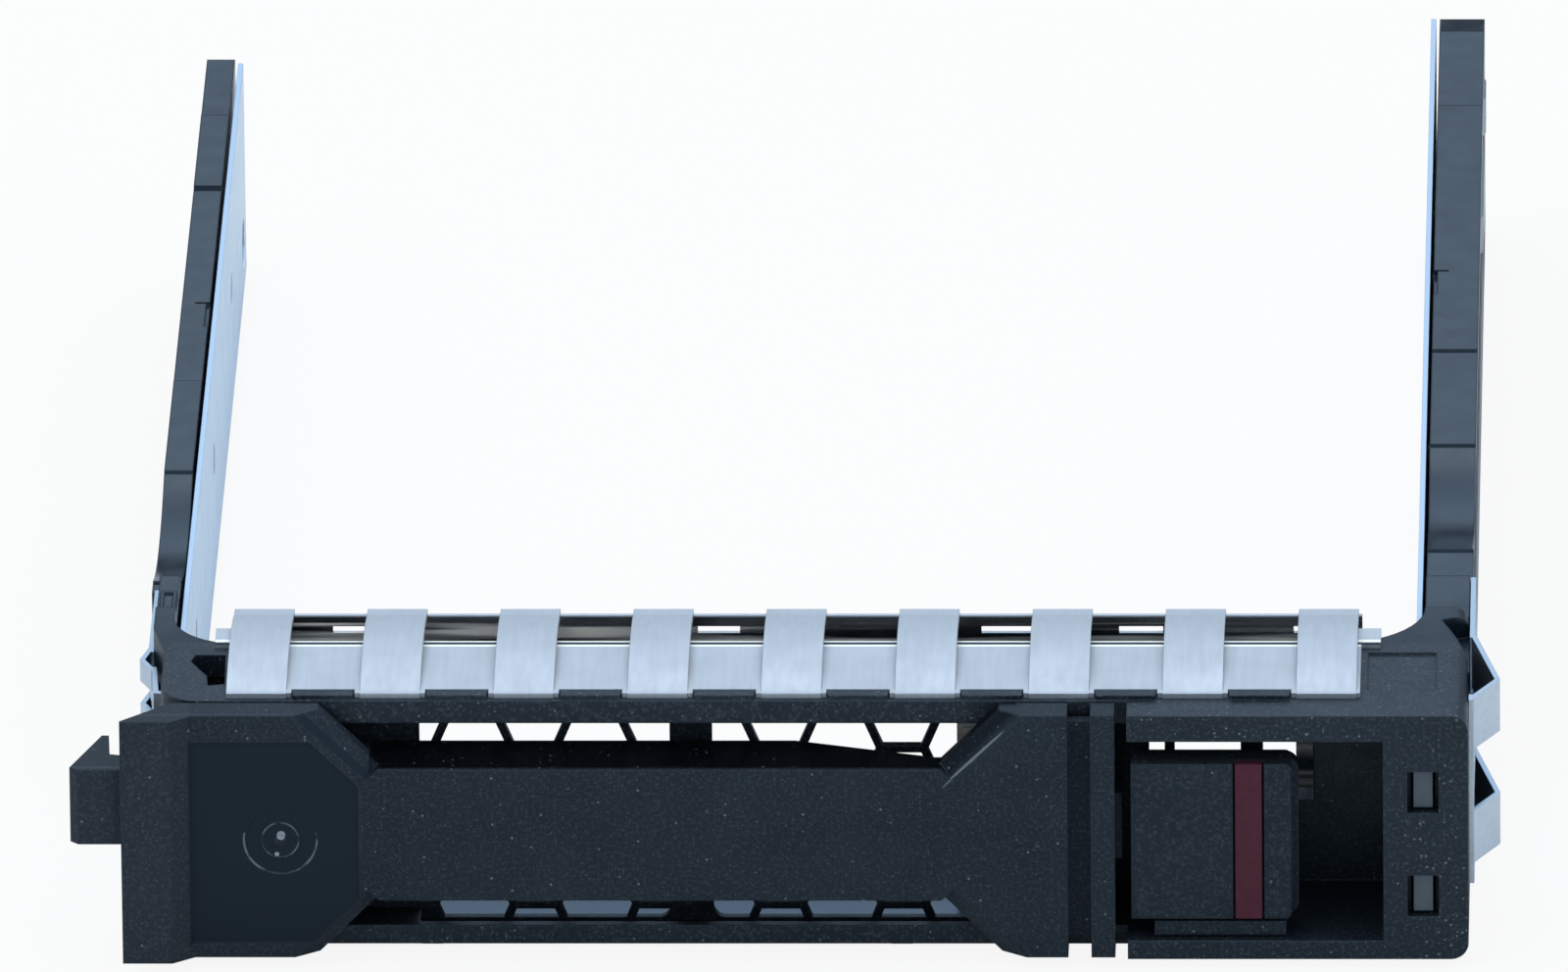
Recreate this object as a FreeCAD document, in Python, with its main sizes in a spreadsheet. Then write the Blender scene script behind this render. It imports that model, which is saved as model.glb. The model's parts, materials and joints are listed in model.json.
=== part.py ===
import FreeCAD, Part
import math
import os
import Sketcher

# Hot swap drive caddy for a 2.5-inch drive, lying flat with its front towards -Y.
# X runs to the right, Y to the back and Z up. X = 0 is the middle of the caddy, Y = 0 is the
# front face of the bezel's latch end, and Z = 0 is the underside of the bezel and the rails.

SIZES = {
    # Whole caddy
    "frame_width": 76.0,
    "bezel_height": 14.8,
    "bezel_depth": 10.9,
    "bezel_setback": 2.3,
    "top_wall": 1.35,
    "bottom_wall": 1.13,
    "lip_depth": 0.6,
    "bezel_corner": 1.0,
    # Drive bay between the rails: a 2.5-inch drive is 69.85 wide and 100 long
    "bay_width": 69.9,
    "liner_thick": 0.3,
    "liner_gap": 0.2,
    "drive_length": 100.45,
    "drive_clearance": 0.15,
    "screw_height": 3.2,
    "screw_rear": 14.0,
    "screw_spacing": 76.6,
    "screw_hole": 1.6,
    "screw_access": 2.9,
    # Rails
    "left_rail_outer": 37.1,
    "left_rail_end": 107.0,
    "left_wall_outer": 36.6,
    "right_rail_outer": 38.1,
    "right_rail_end": 114.2,
    "rail_drop": 1.4,
    "rail_step": 0.12,
    "root_drop": 0.7,
    "root_end": 16.5,
    "spring_end": 23.0,
    "left_corner_round": 4.0,
    "corner_inset": 0.75,
    "corner_slant_end": 13.4,
    "right_corner_round": 5.5,
    "scoop_depth": 1.3,
    "left_scoop_start": 24.5,
    "left_scoop_end": 41.2,
    "left_step": 55.2,
    "left_rear_step": 85.8,
    "left_tail": 97.2,
    "right_scoop_start": 29.4,
    "right_scoop_end": 45.3,
    "right_step": 59.8,
    "right_tail": 98.7,
    "left_end_bevel": 0.5,
    "right_end_bevel": 3.2,
    "end_bevel_drop": 0.45,
    "left_notch": 67.7,
    "right_notch": 72.3,
    "notch_length": 3.8,
    "notch_width": 0.85,
    "notch_groove": 0.22,
    "notch_depth": 0.4,
    # Raised rim on the left rail's root
    "rim_left": 36.45,
    "rim_right": 35.55,
    "rim_front": 16.8,
    "rim_back": 20.4,
    "rim_width": 0.2,
    "rim_height": 0.12,
    # Heat stakes that hold the steel liners
    "stake_radius": 0.9,
    "stake_height": 7.2,
    # Honeycomb grille
    "grille_front": 5.0,
    "grille_thick": 0.5,
    "grille_bottom": 0.5,
    "grille_drop": 1.6,
    "grille_left": -21.3,
    "grille_mid_left": -7.15,
    "grille_mid_right": -4.75,
    "grille_right": 10.3,
    "cell_pitch": 3.47,
    "cell_height": 4.77,
    "cell_flat": 2.45,
    "cell_web": 0.45,
    "window_corner": 0.7,
    "cell_first": -18.3,
    "cell_level": 8.4,
    "cell_least": 0.5,
    # Latch bay and status lights in the right end of the bezel
    "latch_left": 18.75,
    "latch_right": 33.2,
    "latch_bottom": 1.12,
    "latch_drop": 1.56,
    "latch_depth": 9.0,
    "slot_bottom": 4.85,
    "slot_top": 9.6,
    "light_centre": 35.45,
    "light_width": 1.78,
    "light_height": 2.5,
    "upper_light": 10.15,
    "lower_light": 3.85,
    "pipe_width": 1.1,
    "pipe_recess": 0.5,
    "pipe_clearance": 0.12,
    "pipe_jog_start": 12.0,
    "pipe_jog_end": 17.0,
    "pipe_rail_centre": 37.35,
    "pipe_rise_start": 18.5,
    "pipe_rise_end": 24.0,
    "pipe_rail_level": 7.15,
    "pipe_rail_height": 1.3,
    "pipe_bump_proud": 0.12,
    "pipe_bump_front": 28.8,
    "pipe_bump_back": 16.2,
    "pipe_tip_front": 9.8,
    "pipe_tip_back": 5.0,
    # Recesses in the top of the bezel's right end
    "recess_left": 5.7,
    "recess_right": 1.85,
    "recess_front": 4.0,
    "recess_back": 9.6,
    "recess_depth": 0.15,
    "wedge_width": 1.6,
    "wedge_front": 9.2,
    "wedge_back": 15.4,
    "wedge_depth": 1.4,
    # Ejector lever
    "lever_left": 38.0,
    "lever_right": 18.05,
    "lever_thick": 2.0,
    "lever_bottom": 0.1,
    "grip_depth": 4.5,
    "grip_bottom": 3.57,
    "grip_top": 11.5,
    "grip_left": -23.5,
    "grip_right": 8.25,
    "lever_slant": 3.4,
    "grip_bevel": 1.0,
    "lever_proud": 0.95,
    "groove_left": 15.4,
    "groove_right": 16.7,
    "groove_depth": 1.2,
    "groove_drop": 0.8,
    "panel_depth": 0.18,
    "panel_left": -34.2,
    "panel_right": -24.6,
    "panel_bottom": 0.95,
    "panel_top": 13.2,
    "panel_slant": 2.75,
    "mark_centre": -29.05,
    "mark_height": 7.2,
    "mark_radius": 2.05,
    "mark_ring": 1.1,
    "mark_dot": 0.32,
    "hook_left": 40.9,
    "hook_bottom": 7.1,
    "hook_top": 11.6,
    "back_cut": 2.85,
    # Lever hinge
    "hinge_round": 2.3,
    "barrel_radius": 1.6,
    "pin_radius": 0.8,
    "pin_clearance": 0.05,
    "hinge_bay_end": 9.8,
    "coil_radius": 1.4,
    "coil_wire": 0.2,
    "coil_pitch": 0.62,
    "coil_turns": 4,
    "coil_bottom": 3.1,
    # Release button
    "button_left": 18.97,
    "button_right": 28.0,
    "button_bottom": 2.35,
    "button_top": 11.75,
    "button_front": 0.3,
    "button_depth": 2.25,
    "button_corner": 0.35,
    "flange_corner": 0.8,
    "flange_thick": 0.9,
    "flange_drop": 0.4,
    "stripe_left": 24.85,
    "stripe_width": 1.5,
    "stripe_depth": 0.6,
    "stripe_groove": 0.14,
    "post_left": 26.4,
    "post_right": 27.8,
    "button_coil_radius": 1.25,
    "button_coil_wire": 0.16,
    "button_coil_turns": 4,
    "coil_slack": 0.08,
    "slider_width": 1.7,
    # Steel shield round the bezel
    "steel": 0.3,
    "shield_half": 31.9,
    "sheet_front": 2.75,
    "sheet_rear": 11.2,
    "sheet_drop": 2.4,
    "bend_round": 0.75,
    "web_front": 15.3,
    "web_drop": 0.05,
    "finger_front": 2.65,
    "finger_rear": 16.3,
    "finger_width": 3.4,
    "finger_pitch": 7.55,
    "finger_count": 9,
    "finger_rise": 0.8,
    "arch_start": 3.0,
    "finger_dip": 0.25,
    "tab_width": 3.4,
    "tab_depth": 0.95,
    "ear_width": 1.1,
    "ear_front": 10.2,
    "ear_back": 12.5,
    "window_bottom": 3.0,
    "window_top": 10.6,
    "slit_drop": 1.1,
    "slit_height": 0.4,
    "tip_drop": 0.6,
    # Spring clips on the sides
    "clip_thick": 0.3,
    "clip_bottom": 3.0,
    "right_clip_drop": 0.6,
    "clip_finger": 3.15,
    "clip_lower": 4.15,
    "clip_upper": 11.05,
    "clip_front": 4.0,
    "clip_apex": 7.1,
    "clip_back": 14.0,
    "clip_reach": 1.45,
    "left_clip_drop": 1.4,
    "left_clip_front": 7.3,
    "left_tent_front": 10.4,
    "left_tent_apex": 12.0,
    "left_tent_back": 13.8,
    "left_tent_reach": 0.45,
    "left_tent_lower": 7.6,
    "left_tent_upper": 12.1,
}


class Length:
    """A number with the spreadsheet formula that it comes from."""

    def __init__(self, value, text):
        self.value = value
        self.text = text

    def join(self, other, sign, value):
        return Length(value, f"({self.text} {sign} {other.text})")

    def __add__(self, other):
        other = length(other)
        return self.join(other, "+", self.value + other.value)

    def __sub__(self, other):
        other = length(other)
        return self.join(other, "-", self.value - other.value)

    def __mul__(self, other):
        other = length(other)
        return self.join(other, "*", self.value * other.value)

    def __truediv__(self, other):
        other = length(other)
        return self.join(other, "/", self.value / other.value)

    def __radd__(self, other):
        return length(other) + self

    def __rsub__(self, other):
        return length(other) - self

    def __rmul__(self, other):
        return length(other) * self

    def __neg__(self):
        return length(-1) * self


def length(number):
    if isinstance(number, Length):
        return number
    return Length(float(number), f"{float(number)}")


class Sheet:
    """The driving dimensions, read by name as s.name."""

    def __init__(self, doc):
        sheet = doc.addObject("Spreadsheet::Sheet", "Sizes")
        for row, (name, value) in enumerate(SIZES.items(), start=1):
            sheet.set(f"A{row}", name)
            sheet.set(f"B{row}", str(value))
            sheet.setAlias(f"B{row}", name)

    def __getattr__(self, name):
        return Length(float(SIZES[name]), f"Sizes.{name}")


doc = FreeCAD.newDocument("drive_caddy")
s = Sheet(doc)
doc.recompute()
nodes = {}

PLANES = {"XY": "XY_Plane", "XZ": "XZ_Plane", "YZ": "YZ_Plane"}


def bind(item, prop, size):
    item.setExpression(prop, length(size).text)


def new_body(name):
    body = doc.addObject("PartDesign::Body", name + "_body")
    return body


def node(name, item):
    item.Label = name
    nodes[name] = item
    return item


def new_sketch(body, name, plane, offset):
    sketch = body.newObject("Sketcher::SketchObject", name)
    origin = [f for f in body.Origin.OriginFeatures if f.Role == PLANES[plane]][0]
    sketch.AttachmentSupport = [(origin, "")]
    sketch.MapMode = "FlatFace"
    bind(sketch, "AttachmentOffset.Base.z", offset)
    return sketch


def hold_point(sketch, item, end, place):
    """Ties one point of a sketch to the origin by its two coordinates."""
    for kind, size in (("DistanceX", place[0]), ("DistanceY", place[1])):
        size = length(size)
        row = sketch.addConstraint(Sketcher.Constraint(kind, -1, 1, item, end, size.value))
        sketch.setExpression(f"Constraints[{row}]", size.text)


def arc_middle(start, end, rise):
    """The middle of an arc that bulges to the left of its chord by rise."""
    run = (end[0] - start[0], end[1] - start[1])
    chord = math.hypot(run[0], run[1])
    middle = ((start[0] + end[0]) / 2, (start[1] + end[1]) / 2)
    return (middle[0] - run[1] / chord * rise, middle[1] + run[0] / chord * rise)


def draw_outline(sketch, points):
    """A closed outline. A point's third value is the rise of the arc that starts there."""
    flat = [(length(p[0]), length(p[1])) for p in points]
    spots = [(u.value, v.value) for u, v in flat]
    ends = []
    for i, point in enumerate(points):
        j = (i + 1) % len(points)
        start = FreeCAD.Vector(spots[i][0], spots[i][1], 0)
        end = FreeCAD.Vector(spots[j][0], spots[j][1], 0)
        if len(point) == 2:
            row = sketch.addGeometry(Part.LineSegment(start, end))
            ends.append((row, 1, 2))
            continue
        rise = length(point[2])
        middle = arc_middle(spots[i], spots[j], rise.value)
        row = sketch.addGeometry(Part.Arc(start, FreeCAD.Vector(middle[0], middle[1], 0), end))
        first = 1 if sketch.getPoint(row, 1).distanceToPoint(start) < 1e-6 else 2
        ends.append((row, first, 3 - first))
        du = flat[j][0] - flat[i][0]
        dv = flat[j][1] - flat[i][1]
        size = rise if rise.value > 0 else -rise
        radius = ((du * du + dv * dv) / 4 + size * size) / (2 * size)
        held = sketch.addConstraint(Sketcher.Constraint("Radius", row, radius.value))
        sketch.setExpression(f"Constraints[{held}]", radius.text)
    for i, (row, _, last) in enumerate(ends):
        following = ends[(i + 1) % len(ends)]
        sketch.addConstraint(Sketcher.Constraint("Coincident", row, last, following[0], following[1]))
    for (row, first, _), place in zip(ends, flat):
        hold_point(sketch, row, first, place)


def draw_circle(sketch, centre, radius):
    spot = FreeCAD.Vector(length(centre[0]).value, length(centre[1]).value, 0)
    axis = FreeCAD.Vector(0, 0, 1)
    row = sketch.addGeometry(Part.Circle(spot, axis, length(radius).value))
    held = sketch.addConstraint(Sketcher.Constraint("Radius", row, length(radius).value))
    sketch.setExpression(f"Constraints[{held}]", length(radius).text)
    hold_point(sketch, row, 3, centre)


def extrude(body, kind, name, plane, low, high, draw):
    """A pad or a pocket between two levels of the axis that stands on the plane."""
    offset = -length(high) if plane == "XZ" else low
    sketch = new_sketch(body, name + "_sketch", plane, offset)
    draw(sketch)
    feature = body.newObject("PartDesign::" + kind, name)
    feature.Profile = sketch
    bind(feature, "Length", length(high) - low)
    if kind == "Pocket":
        feature.Reversed = True
    return feature


def pad(body, name, plane, low, high, points):
    return extrude(body, "Pad", name, plane, low, high, lambda k: draw_outline(k, points))


def pocket(body, name, plane, low, high, points):
    return extrude(body, "Pocket", name, plane, low, high, lambda k: draw_outline(k, points))


def pad_round(body, name, plane, low, high, centre, radius):
    return extrude(body, "Pad", name, plane, low, high, lambda k: draw_circle(k, centre, radius))


def pocket_round(body, name, plane, low, high, centre, radius):
    return extrude(body, "Pocket", name, plane, low, high, lambda k: draw_circle(k, centre, radius))


def box(left, right, bottom, top):
    return [(left, bottom), (right, bottom), (right, top), (left, top)]


def repeat_along_x(body, name, feature, pitch, count):
    pattern = body.newObject("PartDesign::LinearPattern", name)
    pattern.Originals = [feature]
    axis = [f for f in body.Origin.OriginFeatures if f.Role == "X_Axis"][0]
    pattern.Direction = (axis, [""])
    bind(pattern, "Length", pitch * (count - 1))
    bind(pattern, "Occurrences", count)
    body.Tip = pattern
    return pattern


def edges_at(shape, direction, places, reach=0.02):
    """Names of the straight edges that run along an axis through the given places."""
    axis = "XYZ".index(direction)
    others = [i for i in range(3) if i != axis]
    found = []
    for number, edge in enumerate(shape.Edges, start=1):
        if len(edge.Vertexes) != 2:
            continue
        a, b = (v.Point for v in edge.Vertexes)
        if any(abs(a[i] - b[i]) > 1e-6 for i in others):
            continue
        for place in places:
            values = [length(v).value for v in place]
            if all(abs(a[i] - v) < reach for i, v in zip(others, values)):
                found.append(f"Edge{number}")
                break
    return found


def round_edges(body, name, direction, places, radius):
    doc.recompute()
    base = body.Tip
    names = edges_at(base.Shape, direction, places)
    if not names:
        raise RuntimeError(f"{name}: no edge found")
    fillet = body.newObject("PartDesign::Fillet", name)
    fillet.Base = (base, names)
    bind(fillet, "Radius", radius)
    return fillet


# Places that several pieces share

half_width = s.frame_width / 2
liner_inner = s.bay_width / 2
liner_outer = liner_inner + s.liner_thick
rail_inner = liner_outer + s.liner_gap
hinge_x = s.hinge_round - s.left_wall_outer
hinge_y = s.bezel_setback + s.hinge_round
wall_under = s.bezel_height - s.top_wall
rail_top = s.bezel_height - s.rail_drop
root_top = s.bezel_height - s.root_drop
above = s.bezel_height + 1
first_finger = -(s.finger_pitch * (s.finger_count - 1) + s.finger_width) / 2 - 0.2
stake_rows = (20.0, 47.0, 74.0)
drive_end = s.web_front + s.steel + s.drive_clearance + s.drive_length
screw_rows = (drive_end - s.screw_rear - s.screw_spacing, drive_end - s.screw_rear)
grille_rear = s.grille_front + s.grille_thick


def rail_profile(levels, end, bevel):
    """What is cut away above a rail, seen from the side. Each level is given by its start and
    by the number of small steps that it lies below the rail's top."""
    points = [(s.root_end, above), (s.root_end, root_top)]
    height = root_top
    for start, steps in levels:
        points.append((start, height))
        height = rail_top - s.rail_step * steps
        points.append((start, height))
    low = height - s.end_bevel_drop
    return points + [(end - bevel, height), (end, low), (end + 1, low), (end + 1, above)]


def scoop(start, end):
    """A shallow concave dip in a rail's top."""
    top = rail_top - s.rail_step * 2
    return [
        (start, top + 1),
        (start, top, -s.scoop_depth),
        (end, top + s.rail_step),
        (end, top + 1),
    ]


def notch(side, place):
    """An L-shaped groove in a rail's inner top edge."""
    inner = side * (rail_inner - 0.1)
    edge = side * (rail_inner + s.notch_groove)
    far = side * (rail_inner + s.notch_width)
    return [
        (inner, place - s.notch_length),
        (edge, place - s.notch_length),
        (edge, place - s.notch_groove),
        (far, place - s.notch_groove),
        (far, place),
        (inner, place),
    ]


def make_frame_outline(body):
    corner_left = s.corner_inset - s.left_wall_outer
    outline = [
        (s.latch_left, 0),
        (half_width, 0),
        (half_width, s.spring_end),
        (s.right_rail_outer, s.spring_end),
        (s.right_rail_outer, s.right_rail_end),
        (rail_inner, s.right_rail_end),
        (rail_inner, s.bezel_depth),
        (-rail_inner, s.bezel_depth),
        (-rail_inner, s.left_rail_end),
        (-s.left_rail_outer, s.left_rail_end),
        (-s.left_rail_outer, s.spring_end),
        (-s.left_wall_outer, s.spring_end),
        (-s.left_wall_outer, s.corner_slant_end),
        (corner_left, s.hinge_bay_end),
        (corner_left, s.bezel_setback),
        (s.latch_left, s.bezel_setback),
    ]
    pad(body, "frame_outline", "XY", 0, s.bezel_height, outline)
    round_edges(body, "hinge_corner", "Z", [(corner_left, s.bezel_setback)], s.hinge_round)
    round_edges(body, "left_root_corner", "Z", [(-rail_inner, s.bezel_depth)], s.left_corner_round)
    round_edges(body, "right_root_corner", "Z", [(rail_inner, s.bezel_depth)], s.right_corner_round)
    corners = [(half_width, 0), (half_width, s.bezel_height)]
    round_edges(body, "bezel_end_corners", "Y", corners, s.bezel_corner)


def make_frame_rails(body):
    left_levels = [(s.spring_end, 3), (s.left_scoop_start, 2), (s.left_scoop_end, 1), (s.left_step, 1.5),
                   (s.left_rear_step, 0), (s.left_tail, 1)]
    right_levels = [(s.spring_end, 3), (s.right_scoop_start, 2), (s.right_scoop_end, 1), (s.right_step, 0),
                    (s.right_tail, 1)]
    left = rail_profile(left_levels, s.left_rail_end, s.left_end_bevel)
    right = rail_profile(right_levels, s.right_rail_end, s.right_end_bevel)
    outside = half_width + 2
    pocket(body, "left_rail_steps", "YZ", -outside, -liner_inner + 1, left)
    pocket(body, "right_rail_steps", "YZ", liner_inner - 1, outside, right)
    pocket(body, "left_rail_scoop", "YZ", -outside, -liner_inner, scoop(s.left_scoop_start, s.left_scoop_end))
    pocket(body, "right_rail_scoop", "YZ", liner_inner, outside, scoop(s.right_scoop_start, s.right_scoop_end))
    bottom = rail_top - s.notch_depth
    pocket(body, "left_rail_notch", "XY", bottom, above, notch(-1, s.left_notch))
    pocket(body, "right_rail_notch", "XY", bottom, above, notch(1, s.right_notch))
    for side, sign in (("left", -1), ("right", 1)):
        face = sign * rail_inner
        near, far = (face, -liner_inner) if sign < 0 else (liner_inner, face)
        for number, row in enumerate(stake_rows, start=1):
            centre = (s.sheet_rear + row, s.stake_height)
            pad_round(body, f"{side}_stake_{number}", "YZ", near, far, centre, s.stake_radius)
        for number, row in enumerate(screw_rows, start=1):
            start = -outside if sign < 0 else liner_outer
            end = -liner_outer if sign < 0 else outside
            centre = (row, s.screw_height)
            pocket_round(body, f"{side}_screw_access_{number}", "YZ", start, end, centre, s.screw_access)


def make_frame_hollows(body):
    inner_left = s.grille_left - 2
    behind_lever = [
        (-half_width - 1, s.bezel_setback - 1),
        (s.latch_left, s.bezel_setback - 1),
        (s.latch_left, s.grille_front),
        (inner_left - 4, s.grille_front),
        (inner_left - 6, s.hinge_bay_end),
        (-half_width - 1, s.hinge_bay_end),
    ]
    pocket(body, "lever_hollow", "XY", s.bottom_wall, wall_under, behind_lever)
    rear = box(inner_left - 4, s.latch_left - 1.2, grille_rear, s.bezel_depth + 1)
    pocket(body, "rear_hollow", "XY", -1, wall_under, rear)
    floor = box(s.grille_left, s.grille_right, s.bezel_setback + s.lip_depth, s.grille_front)
    pocket(body, "floor_opening", "XY", -1, s.bottom_wall + 1, floor)
    bed_half = s.shield_half + 0.1
    bed = box(-bed_half, bed_half, s.sheet_front - 0.1, s.web_front + 1)
    pocket(body, "sheet_bed", "XY", -1, s.steel + 0.02, bed)
    relief = box(-bed_half, bed_half, s.bezel_depth, s.web_front + 1)
    pocket(body, "sheet_relief", "XY", -1, s.bezel_height + 1, relief)
    bend = [
        (s.bezel_depth - s.bend_round, s.bezel_height + 0.1),
        (s.bezel_depth + 0.1, s.bezel_height - s.bend_round),
        (s.bezel_depth + 0.1, s.bezel_height + 0.1),
    ]
    pocket(body, "bend_relief", "YZ", -bed_half, bed_half, bend)
    latch = box(s.latch_left - 1, s.latch_right, s.latch_bottom, s.bezel_height - s.latch_drop)
    pocket(body, "latch_bay", "XZ", -1, s.latch_depth, latch)
    slots = (
        (s.latch_left + 1.1, s.latch_left + 2.0, s.slot_bottom),
        (s.latch_left + 2.55, s.post_left - 1.35, s.slot_bottom),
        (s.post_left - 0.1, s.post_right + 1.35, s.slot_bottom + 1.2),
    )
    for number, (left, right, bottom) in enumerate(slots, start=1):
        opening = box(left, right, bottom, s.slot_top)
        pocket(body, f"latch_slot_{number}", "XZ", s.latch_depth - 1, s.bezel_depth + 1, opening)
    star = [
        (hinge_x, s.hinge_bay_end - 1.55),
        (hinge_x + 0.25, s.hinge_bay_end - 0.55),
        (first_finger - 0.25, s.hinge_bay_end - 0.55),
        (first_finger - 0.15, hinge_y + 0.25),
        (hinge_x + 1.1, hinge_y),
        (hinge_x + 1.0, hinge_y + 1.45),
    ]
    pocket(body, "corner_notch", "XY", wall_under - 1, s.bezel_height + 1, star)


def pipe_plan(grow, front, back, bumps):
    """A light pipe seen from above: straight at the bezel, a jog, then along the rail."""
    inner = s.light_centre - s.pipe_width / 2 - grow
    outer = s.light_centre + s.pipe_width / 2 + grow
    shift = s.pipe_rail_centre - s.light_centre
    edge = outer + shift
    points = [
        (inner, front),
        (outer, front),
        (outer, s.pipe_jog_start),
        (edge, s.pipe_jog_end),
    ]
    for start, end in bumps:
        reach = s.right_rail_outer + s.pipe_bump_proud
        points += [(edge, start), (reach, start + 1), (reach, end - 1), (edge, end)]
    points += [
        (edge, back),
        (inner + shift, back),
        (inner + shift, s.pipe_jog_end),
        (inner, s.pipe_jog_start),
    ]
    return points


def pipe_rise(grow, back):
    """The lower light pipe seen from the side, where it climbs clear of the drive screws."""
    half = s.pipe_rail_height / 2 + grow
    return [
        (s.pipe_jog_end, s.lower_light - half),
        (s.pipe_rise_start, s.lower_light - half),
        (s.pipe_rise_end, s.pipe_rail_level - half),
        (back, s.pipe_rail_level - half),
        (back, s.pipe_rail_level + half),
        (s.pipe_rise_end, s.pipe_rail_level + half),
        (s.pipe_rise_start, s.lower_light + half),
        (s.pipe_jog_end, s.lower_light + half),
    ]


pipe_half = s.light_height / 2 - 0.15
pipe_end = s.right_rail_end - 4


def make_frame_light_channels(body):
    grow = s.pipe_clearance
    side = s.pipe_rail_centre - s.pipe_width / 2 - grow
    for name, level in (("upper", s.upper_light), ("lower", s.lower_light)):
        window = box(s.light_centre - s.light_width / 2, s.light_centre + s.light_width / 2,
                     level - s.light_height / 2, level + s.light_height / 2)
        pocket(body, name + "_window", "XZ", -1, 1.2, window)
        back = pipe_end + grow if name == "upper" else s.pipe_rise_start
        low = level - pipe_half - grow
        high = level + pipe_half + grow
        pocket(body, name + "_channel", "XY", low, high, pipe_plan(grow, 1, back, []))
        if name == "upper":
            groove = box(s.pipe_jog_end, back, low, high)
            pocket(body, "upper_groove", "YZ", side, s.right_rail_outer + 1, groove)
    rise = pipe_rise(grow, pipe_end + grow)
    pocket(body, "lower_groove", "YZ", side, s.right_rail_outer + 1, rise)


def make_frame_details(body):
    tab_left = first_finger + s.finger_width + (s.finger_pitch - s.finger_width - s.tab_width) / 2
    tab = box(tab_left, tab_left + s.tab_width, s.bezel_setback + 0.1, s.bezel_setback + s.tab_depth)
    first = pad(body, "front_tab", "XY", s.bezel_height - 0.1, s.bezel_height + s.steel, tab)
    repeat_along_x(body, "front_tabs", first, s.finger_pitch, s.finger_count - 1)
    post = box(s.post_left, s.post_right, s.slot_bottom - 0.5, s.slot_top - 1.4)
    start = s.button_front + s.button_depth + s.flange_thick + 0.2
    pad(body, "spring_post", "XZ", start, s.latch_depth + 0.5, post)
    recess = box(half_width - s.recess_left, half_width - s.recess_right, s.recess_front, s.recess_back)
    pocket(body, "corner_recess", "XY", s.bezel_height - s.recess_depth, above, recess)
    wedge = [
        (half_width - s.wedge_width, s.wedge_back - s.wedge_width / 2),
        (half_width + 0.1, s.wedge_back),
        (half_width + 0.1, s.wedge_front),
    ]
    pocket(body, "corner_wedge", "XY", s.bezel_height - s.wedge_depth, above, wedge)
    rim = box(-s.rim_left, -s.rim_right, s.rim_front, s.rim_back)
    pad(body, "root_rim", "XY", root_top - 0.1, root_top + s.rim_height, rim)
    inside = box(-s.rim_left + s.rim_width, -s.rim_right - s.rim_width,
                 s.rim_front + s.rim_width, s.rim_back - s.rim_width)
    pocket(body, "root_rim_inside", "XY", root_top, above, inside)
    for side, level in (("lower", s.clip_lower), ("upper", s.clip_upper)):
        hollow = [(half_width + 1, s.clip_front + 1), (half_width - 0.9, s.clip_apex + 0.5),
                  (half_width + 1, s.clip_back - 1)]
        pocket(body, f"{side}_clip_hollow", "XY", level, level + s.clip_finger, hollow)
    pin_hole = s.pin_radius + 0.02
    pocket_round(body, "pin_hole", "XY", -1, s.bezel_height - 0.45, (hinge_x, hinge_y), pin_hole)


def hexagon(centre, half_height, half_flat, half_width_mid):
    x, z = centre
    return [
        (x - half_flat, z + half_height),
        (x + half_flat, z + half_height),
        (x + half_width_mid, z),
        (x + half_flat, z - half_height),
        (x - half_flat, z - half_height),
        (x - half_width_mid, z),
    ]


def prism(points, y_front, y_back):
    corners = [FreeCAD.Vector(x, y_front, z) for x, z in points]
    face = Part.Face(Part.makePolygon(corners + corners[:1]))
    return face.extrude(FreeCAD.Vector(0, y_back - y_front, 0))


def rounded(solid, radius):
    """Rounds the edges of a prism that run along Y."""
    edges = []
    for edge in solid.Edges:
        a, b = (v.Point for v in edge.Vertexes)
        if abs(a.x - b.x) < 1e-6 and abs(a.z - b.z) < 1e-6:
            edges.append(edge)
    return solid.makeFillet(radius, edges)


def make_grille_cells():
    """The open cells of the honeycomb, cut off by the two rounded windows of the grille."""
    v = SIZES
    front = v["grille_front"] - 1
    back = v["grille_front"] + v["grille_thick"] + 1
    slope = (v["cell_pitch"] - v["cell_flat"]) / (v["cell_height"] / 2)
    wall = v["cell_web"] / 2
    half_height = v["cell_height"] / 2 - wall
    shrink = wall * math.hypot(1, slope)
    half_mid = v["cell_pitch"] - v["cell_flat"] / 2 - shrink
    half_flat = half_mid - slope * half_height
    top = v["bezel_height"] - v["grille_drop"]
    windows = []
    for left, right in (("grille_left", "grille_mid_left"), ("grille_mid_right", "grille_right")):
        outline = [(v[left], v["grille_bottom"]), (v[right], v["grille_bottom"]),
                   (v[right], top), (v[left], top)]
        windows.append(rounded(prism(outline, front, back), v["window_corner"]))
    cells = []
    columns = int((v["grille_right"] - v["grille_left"]) / v["cell_pitch"]) + 3
    first = math.floor((v["grille_left"] - v["cell_first"]) / v["cell_pitch"]) - 1
    for column in range(first, first + columns + 1):
        x = v["cell_first"] + column * v["cell_pitch"]
        level = v["cell_level"] + (column % 2) * v["cell_height"] / 2
        for row in range(-3, 3):
            z = level + (row + 0.5) * v["cell_height"]
            cell = prism(hexagon((x, z), half_height, half_flat, half_mid), front, back)
            for window in windows:
                piece = cell.common(window)
                if piece.Volume > v["cell_least"] * (back - front):
                    cells.append(piece.Solids[0])
    tool = doc.addObject("Part::Feature", "grille_cells")
    tool.Shape = Part.makeCompound(cells)
    return tool


def make_carrier_frame():
    body = new_body("carrier_frame")
    make_frame_outline(body)
    make_frame_rails(body)
    make_frame_hollows(body)
    make_frame_light_channels(body)
    make_frame_details(body)
    cut = doc.addObject("Part::Cut", "carrier_frame_grille")
    cut.Base = body
    cut.Tool = make_grille_cells()
    return node("carrier_frame", cut)


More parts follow.
